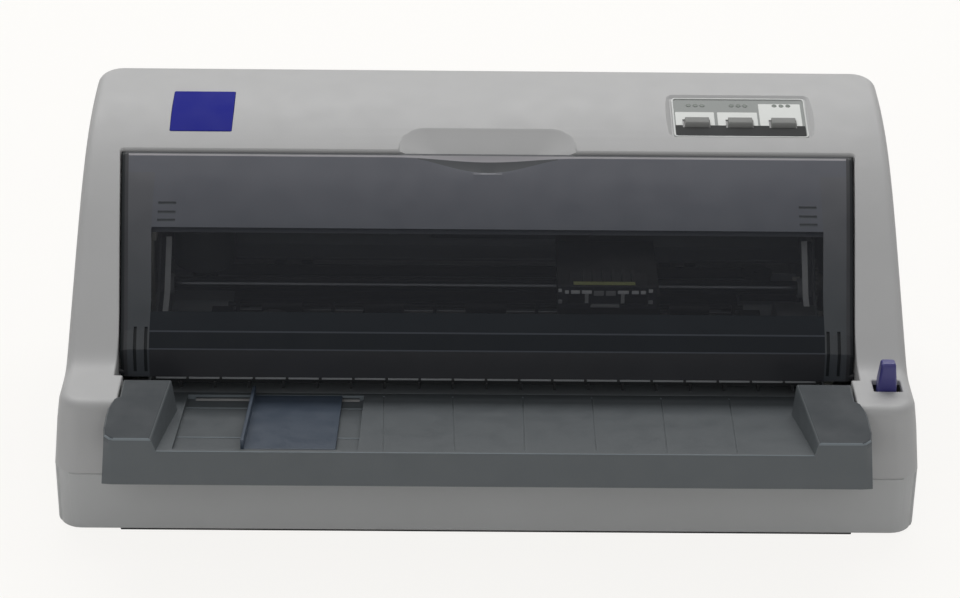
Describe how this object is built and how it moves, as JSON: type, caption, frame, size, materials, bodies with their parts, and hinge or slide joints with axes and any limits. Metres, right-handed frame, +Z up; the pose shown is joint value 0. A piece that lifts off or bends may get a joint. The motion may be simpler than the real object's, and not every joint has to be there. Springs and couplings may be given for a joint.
{
  "type": "dot matrix printer",
  "caption": "Flatbed dot matrix printer with a hinged smoked cover, front sheet tray with an edge guide, moving print head, roller feed with gear train and a rear sprocket feed",
  "frame": {"origin": "middle of the footprint's bounding box, on the surface that the feet stand on", "axes": "+X to the right seen from the front, +Y to the rear, +Z up"},
  "size_m": [0.468, 0.275, 0.17],
  "materials": {
    "case_grey": "light grey moulded plastic with a fine texture",
    "tray_grey": "dark grey-green moulded plastic",
    "guide_grey": "dark blue-grey moulded plastic",
    "smoked_plastic": "smoked clear plastic, frosted outside its clear window band",
    "blue_plastic": "dark blue moulded plastic",
    "badge_blue": "bare dark blue plate, smooth",
    "label_grey": "printed-film panel face, light grey, bare",
    "button_grey": "grey moulded plastic",
    "black_plastic": "black moulded plastic",
    "white_plastic": "natural white moulded plastic",
    "steel": "bright zinc-plated steel sheet",
    "shaft_steel": "ground and plated steel",
    "motor_metal": "plated motor can",
    "head_metal": "die-cast head body with fins",
    "rubber": "black rubber",
    "ribbon": "inked woven ribbon",
    "board": "green circuit board"
  },
  "bodies": {
    "body": {"lower_case": "case_grey", "upper_case": "case_grey", "rubber_feet": "rubber", "screws": "steel", "badge_plate": "badge_blue", "panel_label": "label_grey", "panel_board": "board", "front_tray": "tray_grey", "chassis": "steel", "side_frame_left": "steel", "side_frame_right": "steel", "carriage_shaft": "shaft_steel", "guide_rail": "steel", "head_cable": "white_plastic", "carriage_motor": "motor_metal", "tension_bracket": "black_plastic", "carriage_belt": "rubber", "ribbon_cartridge": "black_plastic", "ink_ribbon": "ribbon", "platen_bar": "black_plastic", "rear_pinch_holder": "black_plastic", "feed_motor": "motor_metal", "tractor_guide_shaft": "shaft_steel", "upper_paper_guide": "black_plastic", "lower_paper_guide": "black_plastic", "main_board": "board", "rear_connectors": "black_plastic", "power_board": "board", "power_inlet": "black_plastic"},
    "carriage_body": {"carriage": "black_plastic", "print_head": "head_metal"},
    "pulley_motor": {"motor_pulley": "shaft_steel"},
    "pulley_idler": {"idler_pulley": "white_plastic"},
    "ribbon_winder": {"ribbon_knob": "black_plastic"},
    "cover": {"printer_cover": "smoked_plastic"},
    "lever": {"release_lever": "blue_plastic"},
    "guide": {"edge_guide": "guide_grey"},
    "key_feed": {"button_feed": "button_grey"},
    "key_load": {"button_load": "button_grey"},
    "key_pause": {"button_pause": "button_grey"},
    "rocker": {"power_switch": "black_plastic"},
    "gap_lever": {"thickness_lever": "white_plastic"},
    "knob": {"feed_knob": "black_plastic", "knob_gear": "white_plastic"},
    "idler": {"idler_gear": "white_plastic"},
    "front_feed": {"front_roller": "rubber", "front_roller_gear": "white_plastic"},
    "rear_feed": {"rear_roller": "rubber", "rear_roller_gear": "white_plastic"},
    "front_pinch": {"front_pinch_rollers": "black_plastic"},
    "rear_pinch": {"rear_pinch_rollers": "black_plastic"},
    "pinion": {"motor_pinion": "shaft_steel"},
    "sprocket_drive": {"tractor_drive_shaft": "shaft_steel", "tractor_gear": "white_plastic"},
    "unit_left": {"tractor_left": "black_plastic"},
    "unit_right": {"tractor_right": "black_plastic"},
    "wheel_left": {"sprocket_left": "white_plastic"},
    "wheel_right": {"sprocket_right": "white_plastic"},
    "flap_left": {"tractor_cover_left": "black_plastic"},
    "flap_right": {"tractor_cover_right": "black_plastic"}
  },
  "joints": [
    {"name": "cover_open", "type": "hinge", "parent": "body", "child": "cover", "pos_m": [0, -0.0445, 0.066], "axis": [1, 0, 0], "range_deg": [0, 75]},
    {"name": "carriage_travel", "type": "slide", "parent": "body", "child": "carriage_body", "axis": [1, 0, 0], "range_m": [-0.185, 0.045]},
    {"name": "motor_pulley_turn", "type": "hinge", "parent": "body", "child": "pulley_motor", "pos_m": [-0.165, 0.0715, 0.065], "axis": [0, 0, 1], "range_deg": [-1455, 356]},
    {"name": "idler_pulley_turn", "type": "hinge", "parent": "body", "child": "pulley_idler", "pos_m": [0.16, 0.0715, 0.065], "axis": [0, 0, 1], "range_deg": [-1455, 356]},
    {"name": "ribbon_wind", "type": "hinge", "parent": "body", "child": "ribbon_winder", "pos_m": [-0.12, -0.0105, 0.08], "axis": [0, 0, 1], "range_deg": [-366, 91]},
    {"name": "lever_shift", "type": "hinge", "parent": "body", "child": "lever", "pos_m": [0.218, -0.073, 0.0405], "axis": [1, 0, 0], "range_deg": [-8, 0]},
    {"name": "guide_slide", "type": "slide", "parent": "body", "child": "guide", "axis": [1, 0, 0], "range_m": [-0.035, 0.011]},
    {"name": "feed_press", "type": "slide", "parent": "body", "child": "key_feed", "axis": [0, -0.2334, 0.9724], "range_m": [-0.001, 0], "stiffness_N_per_m": 250},
    {"name": "load_press", "type": "slide", "parent": "body", "child": "key_load", "axis": [0, -0.2334, 0.9724], "range_m": [-0.001, 0], "stiffness_N_per_m": 250},
    {"name": "pause_press", "type": "slide", "parent": "body", "child": "key_pause", "axis": [0, -0.2334, 0.9724], "range_m": [-0.001, 0], "stiffness_N_per_m": 250},
    {"name": "power_rock", "type": "hinge", "parent": "body", "child": "rocker", "pos_m": [-0.228, -0.0085, 0.022], "axis": [0, 1, 0], "range_deg": [0, 14]},
    {"name": "gap_adjust", "type": "hinge", "parent": "body", "child": "gap_lever", "pos_m": [-0.192, 0.0355, 0.066], "axis": [1, 0, 0], "range_deg": [-20, 0]},
    {"name": "knob_turn", "type": "hinge", "parent": "body", "child": "knob", "pos_m": [0.2, 0.07524, 0.06207], "axis": [1, 0, 0], "continuous": true},
    {"name": "idler_turn", "type": "hinge", "parent": "body", "child": "idler", "pos_m": [0.19, 0.0275, 0.04], "axis": [1, 0, 0], "continuous": true},
    {"name": "front_roller_turn", "type": "hinge", "parent": "body", "child": "front_feed", "pos_m": [0, -0.0085, 0.04], "axis": [1, 0, 0], "continuous": true},
    {"name": "rear_roller_turn", "type": "hinge", "parent": "body", "child": "rear_feed", "pos_m": [0, 0.0635, 0.04], "axis": [1, 0, 0], "continuous": true},
    {"name": "front_pinch_turn", "type": "hinge", "parent": "body", "child": "front_pinch", "pos_m": [0, -0.0085, 0.0506], "axis": [1, 0, 0], "continuous": true},
    {"name": "rear_pinch_turn", "type": "hinge", "parent": "body", "child": "rear_pinch", "pos_m": [0, 0.0635, 0.0506], "axis": [1, 0, 0], "continuous": true},
    {"name": "pinion_turn", "type": "hinge", "parent": "body", "child": "pinion", "pos_m": [0.19, 0.00903, 0.06364], "axis": [1, 0, 0], "continuous": true},
    {"name": "sprocket_drive_turn", "type": "hinge", "parent": "body", "child": "sprocket_drive", "pos_m": [0, 0.10806, 0.06552], "axis": [1, 0, 0], "continuous": true},
    {"name": "unit_left_slide", "type": "slide", "parent": "body", "child": "unit_left", "axis": [1, 0, 0], "range_m": [-0.02, 0.05]},
    {"name": "unit_right_slide", "type": "slide", "parent": "body", "child": "unit_right", "axis": [1, 0, 0], "range_m": [-0.05, 0.02]},
    {"name": "wheel_left_turn", "type": "hinge", "parent": "unit_left", "child": "wheel_left", "pos_m": [-0.115, 0.10806, 0.06552], "axis": [1, 0, 0], "continuous": true},
    {"name": "wheel_right_turn", "type": "hinge", "parent": "unit_right", "child": "wheel_right", "pos_m": [0.115, 0.10806, 0.06552], "axis": [1, 0, 0], "continuous": true},
    {"name": "flap_left_open", "type": "hinge", "parent": "unit_left", "child": "flap_left", "pos_m": [-0.1286, 0.10806, 0.07802], "axis": [0, 1, 0], "range_deg": [-110, 0]},
    {"name": "flap_right_open", "type": "hinge", "parent": "unit_right", "child": "flap_right", "pos_m": [0.1286, 0.10806, 0.07802], "axis": [0, 1, 0], "range_deg": [0, 110]}
  ],
  "couplings": [
    {"joint": "rear_roller_turn", "follows": "knob_turn", "ratio": -1.0833},
    {"joint": "idler_turn", "follows": "knob_turn", "ratio": 0.54167},
    {"joint": "front_roller_turn", "follows": "knob_turn", "ratio": -1.0833},
    {"joint": "pinion_turn", "follows": "knob_turn", "ratio": -2.1667},
    {"joint": "sprocket_drive_turn", "follows": "knob_turn", "ratio": -0.65},
    {"joint": "front_pinch_turn", "follows": "knob_turn", "ratio": 1.5116},
    {"joint": "rear_pinch_turn", "follows": "knob_turn", "ratio": 1.5116},
    {"joint": "wheel_left_turn", "follows": "knob_turn", "ratio": -0.65},
    {"joint": "wheel_right_turn", "follows": "knob_turn", "ratio": -0.65},
    {"joint": "motor_pulley_turn", "follows": "carriage_travel", "rad_per_m": 136.99},
    {"joint": "idler_pulley_turn", "follows": "carriage_travel", "rad_per_m": 136.99},
    {"joint": "ribbon_wind", "follows": "carriage_travel", "rad_per_m": 34.247}
  ]
}
